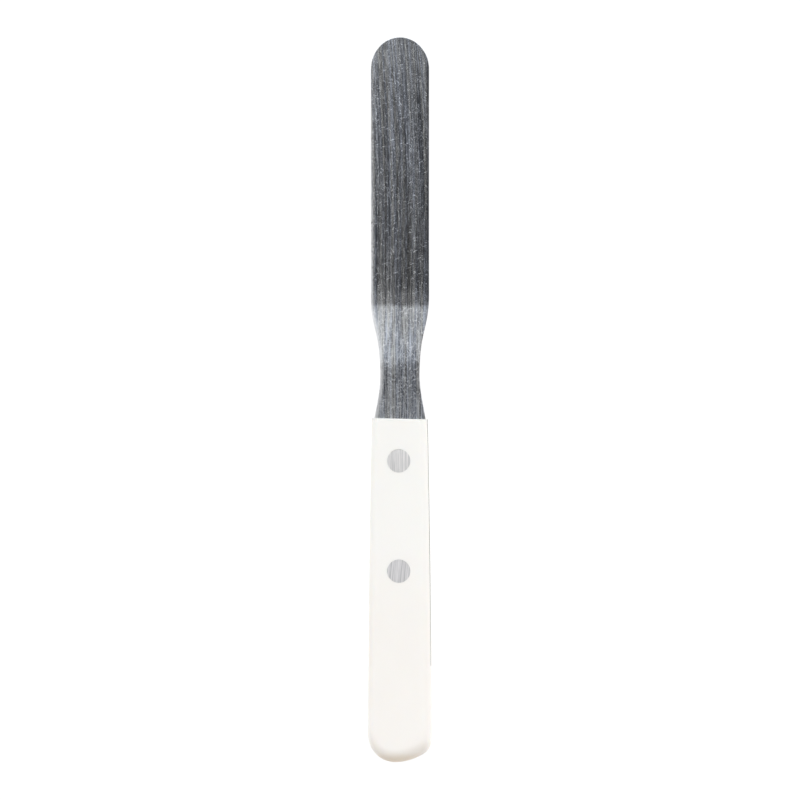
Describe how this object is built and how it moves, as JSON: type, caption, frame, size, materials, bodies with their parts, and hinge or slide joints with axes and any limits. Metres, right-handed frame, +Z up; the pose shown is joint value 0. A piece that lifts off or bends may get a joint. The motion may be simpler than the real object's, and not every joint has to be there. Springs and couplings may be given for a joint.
{
  "type": "palette knife",
  "caption": "Straight palette knife: slim flexible steel blade with a rounded tip and a waisted neck, its tang riveted in a slotted off-white plastic handle.",
  "frame": {"origin": "on the lower flat face of the handle's plane, below the middle of the knife's whole length and width", "axes": "+Y from the handle to the blade's tip, +Z up through the thickness, +X to the right seen from above with the tip away"},
  "size_m": [0.0206, 0.2374, 0.012],
  "materials": {
    "blade_steel": "satin, ground lengthwise",
    "handle_plastic": "smooth, low gloss, warm off-white",
    "rivet_metal": "coarsely linished flush with the handle"
  },
  "bodies": {
    "root": {"blade": "blade_steel", "handle": "handle_plastic", "front_rivet_socket": "rivet_metal", "front_rivet_stud": "rivet_metal", "rear_rivet_socket": "rivet_metal", "rear_rivet_stud": "rivet_metal"}
  },
  "joints": []
}
